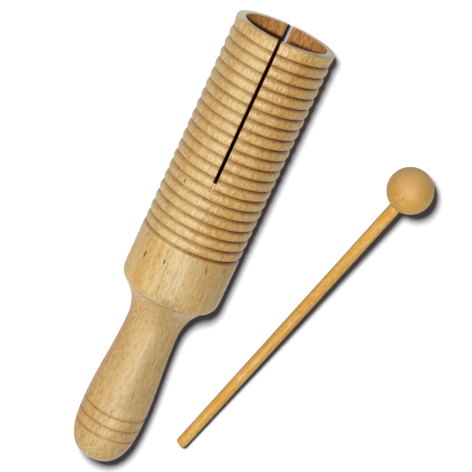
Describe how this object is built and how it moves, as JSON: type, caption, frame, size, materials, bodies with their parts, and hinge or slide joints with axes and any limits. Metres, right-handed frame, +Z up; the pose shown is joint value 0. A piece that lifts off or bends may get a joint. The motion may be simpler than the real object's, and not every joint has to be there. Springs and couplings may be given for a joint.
{
  "type": "wooden rasp",
  "caption": "Hollow wooden rasp: a turned barrel with scraping grooves and a sound slot on a turned handle, with a ball-headed wooden beater lying beside it.",
  "frame": {"origin": "on the table, under the middle of the box that holds the rasp and its beater as they lie side by side", "axes": "+Y along the barrel from the handle's knob to the open mouth, +Z up from the table, +X from the rasp towards the beater"},
  "size_m": [0.1213, 0.2344, 0.0498],
  "materials": {
    "barrel_wood": "pale rubberwood, thin satin lacquer, grooves burnished brown",
    "handle_wood": "pale rubberwood, thin satin lacquer",
    "ball_wood": "golden stained wood, satin lacquer",
    "stick_wood": "orange-yellow stained dowel, satin lacquer"
  },
  "bodies": {
    "rasp": {"barrel": "barrel_wood", "handle": "handle_wood"},
    "beater": {"beater_ball": "ball_wood", "beater_stick": "stick_wood"}
  },
  "joints": [
    {"name": "beater_lift", "type": "slide", "parent": "rasp", "child": "beater", "axis": [0, 0, 1], "range_m": [0, 0.12]}
  ]
}
